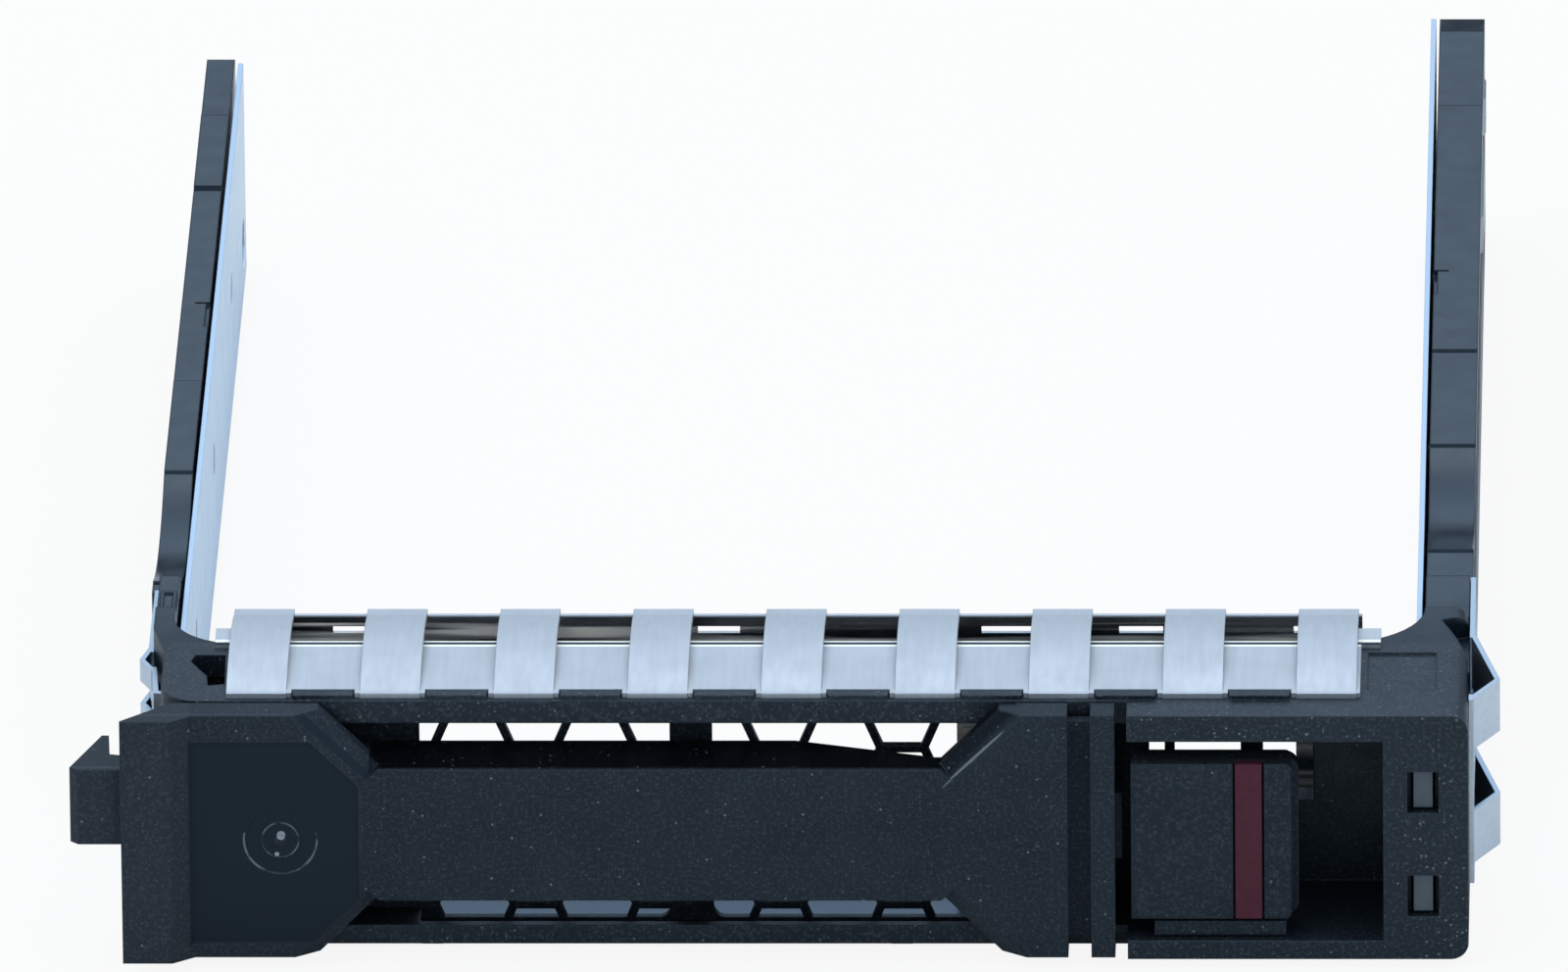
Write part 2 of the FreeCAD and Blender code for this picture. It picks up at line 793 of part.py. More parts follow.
def make_grip_bevels():
    """Wedges that bevel the four slanted edges of the lever's front, beside the grip."""
    v = SIZES
    low, high = v["lever_bottom"], v["bezel_height"]
    wedges = []
    for inner, outer in (
        ((v["grip_left"], v["grip_top"]), (v["grip_left"] - v["lever_slant"], high)),
        ((v["grip_right"], v["grip_top"]), (v["grip_right"] + v["lever_slant"] - 0.1, high)),
        ((v["grip_left"], v["grip_bottom"]), (v["grip_left"] - v["lever_slant"], low)),
        ((v["grip_right"], v["grip_bottom"]), (v["grip_right"] + v["lever_slant"], low)),
    ):
        start = FreeCAD.Vector(inner[0], 0, inner[1])
        run = FreeCAD.Vector(outer[0], 0, outer[1]) - start
        along = FreeCAD.Vector(run).normalize()
        side = FreeCAD.Vector(0, 1, 0).cross(along)
        if side.x * run.x < 0:
            side = -side
        front = FreeCAD.Vector(0, -1, 0)
        corners = [start - side * 0.5 + front, start + side * v["grip_bevel"] + front,
                   start + side * v["grip_bevel"], start - FreeCAD.Vector(0, -v["grip_bevel"], 0),
                   start - side * 0.5 - front * v["grip_bevel"]]
        face = Part.Face(Part.makePolygon(corners + corners[:1]))
        wedges.append(face.extrude(run + along * 2))
    tool = doc.addObject("Part::Feature", "grip_bevels")
    tool.Shape = Part.makeCompound(wedges)
    return tool


def make_lever():
    body = new_body("ejector_lever")
    low = s.lever_bottom
    high = s.bezel_height
    slant = s.lever_slant
    plate = [
        (-s.lever_left, low),
        (s.grip_left - slant, low),
        (s.grip_left, s.grip_bottom),
        (s.grip_right, s.grip_bottom),
        (s.grip_right + slant, low),
        (s.lever_right, low),
        (s.lever_right, high),
        (s.grip_right + slant - 0.1, high),
        (s.grip_right, s.grip_top),
        (s.grip_left, s.grip_top),
        (s.grip_left - slant, high),
        (-s.lever_left, high),
    ]
    pad(body, "lever_plate", "XZ", 0, s.lever_thick, plate)
    behind = s.lever_thick - 0.5
    grip = [
        (s.grip_left - 6, behind),
        (s.grip_right - 0.5, behind),
        (s.grip_right - 0.5, s.lever_thick + 0.05),
        (s.grip_right - 8.3, s.grip_depth),
        (s.grip_left - 6, s.grip_depth),
    ]
    pad(body, "grip", "XY", s.grip_bottom, s.grip_top, grip)
    under = s.bottom_wall + 0.25
    over = wall_under - 0.25
    pad(body, "hinge_block", "XY", under, over, box(hinge_x - 1.6, s.grip_left - 4.5, behind, s.grip_depth))
    pad_round(body, "barrel", "XY", under, over, (hinge_x, hinge_y), s.barrel_radius)
    pad(body, "tail_rib", "XY", under, over, box(s.grip_right + 3, s.lever_right - 0.3, behind, 3.2))
    catch = box(s.lever_right - 1.4, s.lever_right + 0.4, behind, s.grip_depth - 0.3)
    pad(body, "catch", "XY", s.grip_bottom + 2, s.grip_top - 2, catch)
    proud = [
        (-s.lever_left, -s.lever_proud),
        (-s.lever_left + 2.8, -s.lever_proud),
        (-s.lever_left + 4.2, 0.1),
        (-s.lever_left, 0.1),
    ]
    pad(body, "proud_end", "XY", low, high, proud)
    hook = [
        (-s.hook_left, 0.2),
        (-s.hook_left + 0.45, -0.25),
        (-s.lever_left + 0.5, -0.25),
        (-s.lever_left + 0.5, s.lever_thick - 0.1),
        (-s.lever_left - 0.7, s.lever_thick + 0.2),
        (-s.lever_left - 0.85, s.grip_depth + 0.5),
        (-s.lever_left - 1.25, s.grip_depth + 0.5),
    ]
    pad(body, "hook", "XY", s.hook_bottom, s.hook_top, hook)
    back_corner = [
        (-s.lever_left - 0.1, 0.1 - s.lever_proud),
        (-s.lever_left + s.back_cut, s.lever_thick + 0.05),
        (-s.lever_left - 0.1, s.lever_thick + 0.05),
    ]
    pocket(body, "upper_back_corner", "XY", s.hook_top, above, back_corner)
    pocket(body, "lower_back_corner", "XY", -1, s.hook_bottom, back_corner)
    spring_low = s.coil_bottom - 0.5
    spring_high = s.coil_bottom + s.coil_pitch * s.coil_turns + 0.5
    spring_room = box(hinge_x - 3, s.grip_left - 4, s.lever_thick + 0.1, hinge_y + 3)
    pocket(body, "spring_room", "XY", spring_low, spring_high, spring_room)
    groove = box(s.groove_left, s.groove_right, low - 1, high + 1)
    pocket(body, "tip_groove", "XZ", -1, s.groove_depth, groove)
    for name, start, end in (("top", high - s.groove_drop, high + 1), ("bottom", low - 1, low + s.groove_drop)):
        pocket(body, f"groove_{name}", "XZ", -1, s.lever_thick + 0.1, box(s.groove_left, s.groove_right, start, end))
    panel = [
        (s.panel_left, s.panel_bottom),
        (s.panel_right - s.panel_slant, s.panel_bottom),
        (s.panel_right, s.panel_bottom + s.panel_slant),
        (s.panel_right, s.panel_top - s.panel_slant),
        (s.panel_right - s.panel_slant, s.panel_top),
        (s.panel_left, s.panel_top),
    ]
    pocket(body, "label_panel", "XZ", -1, s.panel_depth, panel)
    mark = (s.mark_centre, s.mark_height)
    pocket_round(body, "mark_dish", "XZ", -1, s.panel_depth + 0.1, mark, s.mark_radius)
    pad_round(body, "mark_boss", "XZ", s.panel_depth - 0.02, s.panel_depth + 0.2, mark, s.mark_ring)
    pad_round(body, "mark_dot", "XZ", s.panel_depth - 0.15, s.panel_depth, mark, s.mark_dot)
    bore = s.pin_radius + s.pin_clearance
    pocket_round(body, "pin_bore", "XY", under - 1, over + 1, (hinge_x, hinge_y), bore)
    cut = doc.addObject("Part::Cut", "ejector_lever_bevelled")
    cut.Base = body
    cut.Tool = make_grip_bevels()
    return node("ejector_lever", cut)


def make_lever_pin():
    pin = doc.addObject("Part::Cylinder", "lever_pin_rod")
    bind(pin, "Radius", s.pin_radius)
    bind(pin, "Height", s.bezel_height - 0.8)
    bind(pin, "Placement.Base.x", hinge_x)
    bind(pin, "Placement.Base.y", hinge_y)
    bind(pin, "Placement.Base.z", 0.3)
    return node("lever_pin", pin)


def coil_wire(radius, wire, turns, height, first_leg, last_leg):
    """A wound wire as short straight runs: a leg, the turns of a helix and the other leg."""
    steps = int(turns * COIL_SIDES)
    points = []
    for i in range(steps + 1):
        angle = 2 * math.pi * i / COIL_SIDES
        rise = height * i / steps
        points.append(FreeCAD.Vector(radius * math.cos(angle), radius * math.sin(angle), rise))
    if first_leg:
        points.insert(0, points[0] - FreeCAD.Vector(0, first_leg, 0))
    if last_leg:
        points.append(points[-1] + FreeCAD.Vector(0, last_leg, 0))
    run = points[1] - points[0]
    frame = FreeCAD.Rotation(FreeCAD.Vector(0, 0, 1), run)
    rim = []
    for k in range(WIRE_SIDES + 1):
        angle = 2 * math.pi * k / WIRE_SIDES
        spot = FreeCAD.Vector(wire * math.cos(angle), wire * math.sin(angle), 0)
        rim.append(points[0] + frame.multVec(spot))
    path = Part.makePolygon(points)
    return path.makePipeShell([Part.makePolygon(rim)], True, False, 1)


COIL_SIDES = 12
WIRE_SIDES = 6


def make_lever_spring():
    v = SIZES
    axis_y = v["bezel_setback"] + v["hinge_round"]
    to_lever = axis_y - v["lever_thick"] - v["coil_wire"] - 0.1
    to_frame = v["hinge_bay_end"] - axis_y - 0.1
    spring = doc.addObject("Part::Feature", "lever_spring_coil")
    spring.Shape = coil_wire(v["coil_radius"], v["coil_wire"], v["coil_turns"],
                             v["coil_pitch"] * v["coil_turns"], to_lever, to_frame)
    bind(spring, "Placement.Base.x", hinge_x)
    bind(spring, "Placement.Base.y", hinge_y)
    bind(spring, "Placement.Base.z", s.coil_bottom)
    return node("lever_spring", spring)


def make_button():
    body = new_body("release_button")
    front = s.button_front
    back = front + s.button_depth
    cap = box(s.button_left, s.button_right, s.button_bottom, s.button_top)
    pad(body, "cap", "XZ", front, back, cap)
    right = s.button_right
    round_edges(body, "cap_corners", "Y", [(right, s.button_bottom), (right, s.button_top)], s.button_corner)
    flange_top = s.button_top - s.flange_drop
    flange = box(s.button_left + 0.5, right + 0.4, s.button_bottom - 0.6, flange_top)
    pad(body, "flange", "XZ", back - 0.1, back + s.flange_thick, flange)
    flange_right = [(right + 0.4, s.button_bottom - 0.6), (right + 0.4, flange_top)]
    round_edges(body, "flange_corners", "Y", flange_right, s.flange_corner)
    slider = box(s.button_left + 0.5, s.button_left + 0.5 + s.slider_width,
                 s.button_bottom + 2.2, s.button_top - 2.9)
    pad(body, "slider", "XZ", back, s.latch_depth - 0.3, slider)
    groove = box(s.stripe_left - s.stripe_groove, s.stripe_left + s.stripe_width + s.stripe_groove,
                 s.button_bottom - 1, s.button_top + 1)
    pocket(body, "stripe_bed", "XZ", front - 1, front + s.stripe_depth, groove)
    foot = box(s.button_left + 1.3, right - 0.3, s.latch_bottom + 0.12, s.button_bottom - 0.25)
    pad(body, "foot", "XZ", front + 0.25, back + s.flange_thick, foot)
    web = box(s.button_left + 1.3, right - 0.3, s.button_bottom - 0.3, s.button_bottom + 0.1)
    pad(body, "foot_web", "XZ", front + 0.9, back + s.flange_thick, web)
    return node("release_button", body)


def make_stripe():
    body = new_body("button_stripe")
    stripe = box(s.stripe_left, s.stripe_left + s.stripe_width, s.button_bottom, s.button_top)
    pad(body, "stripe", "XZ", s.button_front, s.button_front + s.stripe_depth, stripe)
    return node("button_stripe", body)


def make_button_spring():
    v = SIZES
    slack = v["button_coil_wire"] + v["coil_slack"]
    start = v["button_left"] + 0.5 + v["slider_width"] + slack
    room = v["post_left"] - slack - start
    spring = doc.addObject("Part::Feature", "button_spring_coil")
    spring.Shape = coil_wire(v["button_coil_radius"], v["button_coil_wire"], v["button_coil_turns"],
                             room, 0, 0)
    behind = s.button_front + s.button_depth + s.flange_thick
    spring.Placement.Rotation = FreeCAD.Rotation(FreeCAD.Vector(0, 1, 0), 90)
    start = s.button_left + 0.5 + s.slider_width + s.button_coil_wire + s.coil_slack
    bind(spring, "Placement.Base.x", start)
    bind(spring, "Placement.Base.y", (behind + s.latch_depth) / 2 + 0.05)
    bind(spring, "Placement.Base.z", (s.button_bottom + s.button_top) / 2)
    return node("button_spring", spring)


def arch(low, start, end, rise, thick):
    """A strip that springs up between two ends, seen from the side."""
    return [
        (start, low, rise),
        (end, low),
        (end, low + thick, -rise),
        (start, low + thick),
    ]


# Left and right ends of the web's slits, and the middles of the two bottom tips
SLITS = ((-26.5, -24.2), (-5.8, -3.4), (10.3, 13.2), (18.1, 20.6), (28.0, 28.6))
TIPS = (-20.65, 5.95)


def make_shield():
    body = new_body("emi_shield")
    left = -s.shield_half
    right = s.shield_half
    web_back = s.web_front + s.steel
    pad(body, "web", "XZ", s.web_front, web_back, box(left, right, 0, s.bezel_height - s.web_drop))
    pad(body, "floor_sheet", "XY", 0, s.steel, box(left, right, s.sheet_front, web_back))
    top = s.bezel_height
    arch_end = s.web_front - 0.1
    dip = top - s.finger_dip
    finger = [
        (s.finger_front, top),
        (s.arch_start, top, s.finger_rise),
        (arch_end, dip),
        (s.finger_rear, dip - 0.1),
        (s.finger_rear, dip - 0.1 + s.steel),
        (arch_end, dip + s.steel, -s.finger_rise),
        (s.arch_start, top + s.steel),
        (s.finger_front, top + s.steel),
    ]
    first = pad(body, "finger", "YZ", first_finger, first_finger + s.finger_width, finger)
    repeat_along_x(body, "fingers", first, s.finger_pitch, s.finger_count)
    sheet = box(left, right, s.sheet_front, s.sheet_rear)
    pad(body, "top_sheet", "XY", top, top + s.steel, sheet)
    drop = box(left, right, top - s.sheet_drop, top + s.steel)
    pad(body, "sheet_drop", "XZ", s.sheet_rear - s.steel, s.sheet_rear, drop)
    inner_round = s.bend_round - s.steel
    round_edges(body, "outer_bend", "X", [(s.sheet_rear, top + s.steel)], s.bend_round)
    round_edges(body, "inner_bend", "X", [(s.sheet_rear - s.steel, top)], inner_round)
    for side, start in (("left", left - s.ear_width), ("right", right - 0.4)):
        ear = box(start, start + s.ear_width + 0.4, s.ear_front, s.ear_back)
        pad(body, f"{side}_ear", "XY", top, top + s.steel, ear)
    tab_left = first_finger + s.finger_width + (s.finger_pitch - s.finger_width - s.tab_width) / 2 - 0.08
    notch = box(tab_left, tab_left + s.tab_width + 0.16, s.sheet_front - 1, s.bezel_setback + s.tab_depth + 0.08)
    cut = pocket(body, "tab_notch", "XY", top - 0.5, top + s.steel + 0.5, notch)
    repeat_along_x(body, "tab_notches", cut, s.finger_pitch, s.finger_count - 1)
    openings = (
        ("left", s.grille_left - 0.5, s.grille_mid_left + 0.15),
        ("middle", s.grille_mid_right - 0.55, s.grille_right - 1.45),
        ("latch", s.latch_left + 0.2, s.latch_right - 5.1),
    )
    for name, start, end in openings:
        window = box(start, end, s.window_bottom, s.window_top)
        pocket(body, f"{name}_window", "XZ", s.web_front - 1, web_back + 1, window)
    bottom = top - s.slit_drop
    for number, (start, end) in enumerate(SLITS, start=1):
        slit = box(start, end, bottom, bottom + s.slit_height)
        pocket(body, f"slit_{number}", "XZ", s.web_front - 1, web_back + 1, slit)
    tip = arch(0, s.sheet_front, s.sheet_front + 2.6, -s.tip_drop, s.steel)
    for number, middle in enumerate(TIPS, start=1):
        pad(body, f"bottom_tip_{number}", "YZ", middle - 0.6, middle + 0.6, tip)
    return node("emi_shield", body)


def make_liner(side, sign, start, end):
    body = new_body(side + "_rail_liner")
    low, high = (liner_inner, liner_outer) if sign > 0 else (-liner_outer, -liner_inner)
    outline = box(start, end - 0.8, 0.3, rail_top - 0.25)
    pad(body, "strip", "YZ", low, high, outline)
    for number, row in enumerate(stake_rows, start=1):
        centre = (s.sheet_rear + row, s.stake_height)
        pocket_round(body, f"stake_hole_{number}", "YZ", low - 1, high + 1, centre, s.stake_radius + 0.03)
    for number, row in enumerate(screw_rows, start=1):
        centre = (row, s.screw_height)
        pocket_round(body, f"screw_hole_{number}", "YZ", low - 1, high + 1, centre, s.screw_hole)
    return node(side + "_rail_liner", body)


def make_clip(side, strip, tent, top, tents):
    """A sprung steel strip on the caddy's side, with two lanced tents."""
    body = new_body(side + "_side_spring")
    pad(body, "strip", "XY", s.clip_bottom, top, strip)
    near, far = (-half_width - 3, -half_width + 3) if side == "left" else (half_width - 3, half_width + 3)
    front, back = tent[0][1] + 0.5, tent[2][1] - 0.6
    for name, low, high in tents:
        window = box(front, back, low - 0.15, high + 0.15)
        pocket(body, f"{name}_window", "YZ", near, far, window)
        pad(body, f"{name}_tent", "XY", low, high, tent)
    return node(side + "_side_spring", body)


def make_left_clip():
    wall = -s.left_wall_outer
    front = s.left_clip_front
    inner = [
        (wall + 0.5, front),
        (wall + 0.3, s.hinge_bay_end + 0.6),
        (wall, s.corner_slant_end),
        (wall, s.spring_end - 0.5),
    ]
    outer = [(x - s.clip_thick, y) for x, y in reversed(inner)]
    tip = [(wall + 0.2, front - 0.3), (wall + 0.8, front - 0.4), (wall + 0.8, front - 0.1)]
    reach = s.left_tent_reach
    tent = [
        (wall + 0.25, s.left_tent_front),
        (wall - reach, s.left_tent_apex),
        (wall, s.left_tent_back),
        (wall - s.clip_thick, s.left_tent_back),
        (wall - reach - s.clip_thick, s.left_tent_apex),
        (wall + 0.25 - s.clip_thick, s.left_tent_front),
    ]
    top = s.bezel_height - s.left_clip_drop
    tents = (
        ("lower", s.left_tent_lower, s.left_tent_lower + s.clip_finger),
        ("upper", s.left_tent_upper, top),
    )
    make_clip("left", inner + outer + tip, tent, top, tents)


def make_right_clip():
    face = half_width
    strip = box(face, face + s.clip_thick, s.clip_front, s.spring_end - 0.5)
    tent = [
        (face, s.clip_front + 0.3),
        (face + s.clip_reach, s.clip_apex),
        (face, s.clip_back),
        (face + s.clip_thick, s.clip_back),
        (face + s.clip_thick + s.clip_reach, s.clip_apex),
        (face + s.clip_thick, s.clip_front + 0.3),
    ]
    tents = (
        ("lower", s.clip_lower, s.clip_lower + s.clip_finger),
        ("upper", s.clip_upper, s.clip_upper + s.clip_finger),
    )
    make_clip("right", strip, tent, s.bezel_height - s.right_clip_drop, tents)


def make_light_pipes():
    upper = new_body("upper_light_pipe")
    end = s.right_rail_end
    bumps = (
        (end - s.pipe_bump_front, end - s.pipe_bump_back),
        (end - s.pipe_tip_front, end - s.pipe_tip_back),
    )
    plan = pipe_plan(0, s.pipe_recess, pipe_end, bumps)
    pad(upper, "pipe", "XY", s.upper_light - pipe_half, s.upper_light + pipe_half, plan)
    node("upper_light_pipe", upper)
    lower = new_body("lower_light_pipe")
    plan = pipe_plan(0, s.pipe_recess, s.pipe_rise_start - 0.2, [])
    pad(lower, "pipe", "XY", s.lower_light - pipe_half, s.lower_light + pipe_half, plan)
    start = s.pipe_rail_centre - s.pipe_width / 2
    pad(lower, "climb", "YZ", start, start + s.pipe_width, pipe_rise(0, pipe_end))
    node("lower_light_pipe", lower)


def check_document():
    for item in doc.Objects:
        if "Invalid" in item.State or "Error" in item.State:
            raise RuntimeError(f"{item.Name} is {item.State}")
    for name, item in nodes.items():
        shape = item.Shape
        if shape.isNull() or not shape.isValid():
            raise RuntimeError(f"{name} has no valid shape")


def export_nodes():
    os.makedirs("parts", exist_ok=True)
    for name, item in nodes.items():
        item.Shape.exportStep(f"parts/{name}.step")


make_carrier_frame()
make_lever()
make_lever_pin()
make_lever_spring()
make_button()
make_stripe()
make_button_spring()
make_shield()
make_liner("left", -1, s.web_front + s.steel + 0.1, s.left_rail_end)
make_liner("right", 1, s.bezel_depth + s.right_corner_round + 0.2, s.right_rail_end)
make_left_clip()
make_right_clip()
make_light_pipes()
doc.recompute()
check_document()
export_nodes()
for name, item in nodes.items():
    print(name, len(item.Shape.Solids), "solid", round(item.Shape.Volume, 1), "mm3")
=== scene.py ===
"""The looks of a hot swap drive caddy: finishes, light, floor and camera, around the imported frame."""

import json
import math

import bpy
from mathutils import Matrix, Vector


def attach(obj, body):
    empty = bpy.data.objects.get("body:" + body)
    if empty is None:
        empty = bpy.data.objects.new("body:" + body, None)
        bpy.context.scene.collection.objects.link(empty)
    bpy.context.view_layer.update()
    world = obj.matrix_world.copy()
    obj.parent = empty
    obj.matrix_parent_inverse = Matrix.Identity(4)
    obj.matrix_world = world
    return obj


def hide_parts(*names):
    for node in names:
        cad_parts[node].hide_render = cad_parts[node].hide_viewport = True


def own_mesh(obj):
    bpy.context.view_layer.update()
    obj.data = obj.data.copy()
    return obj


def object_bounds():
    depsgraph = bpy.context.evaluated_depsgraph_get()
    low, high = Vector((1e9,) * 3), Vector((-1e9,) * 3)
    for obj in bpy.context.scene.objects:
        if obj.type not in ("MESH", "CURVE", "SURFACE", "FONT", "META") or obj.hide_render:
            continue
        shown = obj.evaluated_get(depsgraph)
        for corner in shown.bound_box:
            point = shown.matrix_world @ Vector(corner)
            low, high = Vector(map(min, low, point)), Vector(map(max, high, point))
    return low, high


MM = 0.001

# Camera: a long lens, far off, a little to the right and looking down on the front
CAMERA_PLACE = Vector((56.671, -2045.552, 846.183)) * MM
CAMERA_DOWN = math.radians(21.774)
CAMERA_TURN = math.radians(1.598)
CAMERA_ROLL = math.radians(0.599)
CAMERA_LENS = 900
CAMERA_REACH = 20
SENSOR_WIDTH = 36

# Colours, as linear light
SLATE = (0.015, 0.021, 0.029)
SLATE_PALE = (0.021, 0.029, 0.038)
SLATE_TINT = (0.72, 0.88, 1.0, 1)
BEZEL = (0.005, 0.009, 0.014)
BEZEL_PALE = (0.009, 0.014, 0.021)
# Painted shade for the top of the grip, under the bezel's lip
GRIP_PAINTED_SHADE = (0.002, 0.003, 0.005)
# The rails' colour: black plastic, paler and bluer than the bezel as a painted sheen
RAIL = (0.008, 0.014, 0.024)
RAIL_PALE = (0.013, 0.021, 0.033)
PANEL = (0.011, 0.018, 0.026)
END_PALE = (0.029, 0.037, 0.046)
# Pale edges: partly wear, partly a painted highlight
EDGE_WEAR_AND_HIGHLIGHT = (0.06, 0.075, 0.09)
SPECK = (0.19, 0.21, 0.23)
# Pale wear, also used for painted highlights: the mark's rim, ring and glints and the scratch line
WORN_AND_HIGHLIGHT = (0.30, 0.34, 0.38)
SHIELD = (0.545, 0.56, 0.585)
SHIELD_DULL = (0.50, 0.51, 0.525)
# Painted shade on the sunk sheet, and the painted dark line along the top sheet's rear edge
SHIELD_PAINTED_SHADE = (0.045, 0.064, 0.088)
SHEARED = (0.20, 0.22, 0.25)
# Warm painted highlight on the cut sides that face right
CUT_SIDE_HIGHLIGHT = (0.66, 0.60, 0.50)
# Pale warm streaks on the web: brushing marks, coloured as a painted reflection
STREAK_AND_REFLECTION = (0.95, 0.86, 0.76)
# Painted highlight along the top sheet's rear bend
CREST_PAINTED_HIGHLIGHT = (0.95, 0.90, 0.80)
STEEL = (0.63, 0.70, 0.78)
STEEL_DULL = (0.56, 0.63, 0.71)
LINER = (0.74, 0.86, 0.99)
LINER_DULL = (0.64, 0.75, 0.87)
MAROON = (0.098, 0.024, 0.038)
MAROON_DARK = (0.070, 0.017, 0.028)
CLEAR = (0.07, 0.10, 0.13)
CLEAR_PALE = (0.15, 0.19, 0.24)
CLEAR_SIDE = (0.42, 0.48, 0.54)
FLOOR = (0.90, 0.91, 0.92)
WHITE = (1, 1, 1)
SKY = (0.74, 0.88, 1.0)
SURROUND = (0.70, 0.92, 1.18)

# Roughness, from the smoothest patches to the roughest, and what is taken off or put on in places
WIRE_SHEEN = (0.20, 0.35)
STRIP_SHEEN = (0.28, 0.40)
SHIELD_SHEEN = (0.60, 0.68)
MIRROR_SHARE = 0.78
STREAK_DULLING = 0.6
MOULDED_SHEEN = (0.42, 0.52)
RAIL_SMOOTHING = 0.27
SPARK_SHEEN = (0.30, 0.58)
CLEAR_SHEEN = (0.12, 0.26)

# Relief: the size of its grain, its depth and the radius that its edges are eased by, in millimetres
BEZEL_RELIEF = (0.16, 0.006, 0.16)
LEVER_RELIEF = (0.14, 0.035, 0.2)
MAROON_RELIEF = (0.2, 0.012, 0.08)
CLEAR_RELIEF = (1.2, 0.01, 0.08)
PANEL_RELIEF_SHARE = 0.12

# How much longer the streaks are than wide: rolling marks, and those across the shield's web
ROLLING_STRETCH = 18
WEB_STRETCH = (40, 40, 1)

# How strongly grain, wear, painted highlights and tints show, from 0 to 1
BEZEL_GRAIN = 0.16
LEVER_GRAIN = 0.13
EDGE_SHARE = 0.5
SHEARED_SHARE = 0.7
RUBBED_END_SHARE = 0.8
END_SHARE = 0.6
RIM_SHARE = 0.55
RIM_FAINTER_BY = 0.45
RING_SHARE = 0.4
SCRATCH_SHARE = 0.5

# Specks: the cell of their grid in millimetres, the share of the cells that hold one, their
# radius in millimetres and their strength; and the share of the radius that shows in full
BEZEL_SPECKS = ((0.26, 0.40, 0.075, 0.30), (0.48, 0.25, 0.085, 0.8))
LEVER_SPECKS = ((0.21, 0.40, 0.065, 0.24), (0.55, 0.20, 0.088, 1.0))
RUBBED_SPECKS = (0.34, 0.30, 0.095, 1.0)
SPECK_CORE = 0.4

# Edges: the cosines of the normal's turn where an edge mark starts and where it is full, the widths of
# the plastic's pale edges, wear and painted highlight, and of sheared edges in millimetres, and the
# cosine of a face's turn off the X axis
EDGE_TURN = (0.98, 0.84)
EDGE_WIDTH = 0.12
SHEARED_WIDTH = 0.07
SIDEWAYS = 0.9
BEVEL_SAMPLES = 6

# Places on the plastic, in millimetres: X to the right, Y back and Z up
BEZEL_BACK = 11
RAIL_BLEND = (12, 20)
RUBBED_HEIGHTS = (13.4, 14.1)
RUBBED_FROM = 12
RUBBED_END = 35.2
RUBBED_DEPTH = 0.6
PANEL_RIGHT = -24
PANEL_DEPTHS = (0.06, 0.45)
GRIP_RIGHT = 12.5
GRIP_SHADE_FROM = 9
GRIP_SHADE_DEPTHS = (0.1, 0.5)
LEFT_END = -34.15
CLEAR_BLEND = (4, 14)

# Places on the shield: the front of its web, the painted highlight along the top sheet's rear edge and
# the painted dark line within it, the top sheet's and the sunk sheet's heights, and the mirror bright
# part inside the bezel
WEB_DEPTHS = (14, 15.45)
WEB_TOP = 14.3
CREST_DEPTHS = (9.75, 10.8)
DARK_LINE_DEPTHS = (10.05, 10.4)
TOP_SHEET = (15.04, 15.2)
SUNK_SHEET = (0.15, 0.6)
MIRROR_TOP = 14.65
FINGERS_HALF = 34

# The round mark on the lever's panel: its middle, the radii of its rim and of its inner ring, both pale
# as wear and partly as painted highlight, how far up the rim reaches, the half width where it is faint,
# and its painted glints as places and radii
MARK = (-29.05, 7.2)
MARK_RIM = (2.0, 2.11)
MARK_RING = (0.99, 1.09)
MARK_RIM_TOP = 0.4
MARK_FAINT = 0.9
MARK_GLINTS = ((0.05, 0.3, 0.24), (-0.2, -0.86, 0.13))
MARK_DEPTH = 0.6

# The ends of the scratch beside the grip, a pale line that is partly a painted highlight along the
# chamfer's edge, and how much longer a way past them may be on the line
SCRATCH = ((8.33, 10.44), (11.83, 13.84))
SCRATCH_SLACK = 0.0016
SCRATCH_DEPTH = 0.5

# The sky that gloss and glass see: heights, as sines of the elevation, and strengths
MIRRORED_SKY = ((0.22, 0.05), (0.37, 1.0), (0.80, 1.2))
SKY_LIGHT = 0.6

# Lamps: name, place, what they aim at, size and power
LAMPS = (
    ("key", (-0.45, -0.35, 0.75), (0, 0.04, 0), (0.5, 0.5), 1.5),
    ("fill", (0.6, -0.7, 0.45), (0, 0.04, 0), (0.6, 0.4), 0.7),
    ("over", (0, 0.45, 0.85), (0, 0.05, 0), (1.2, 0.5), 2.5),
)

FLOOR_SIZE = 12
FLOOR_GLOW = 0.9


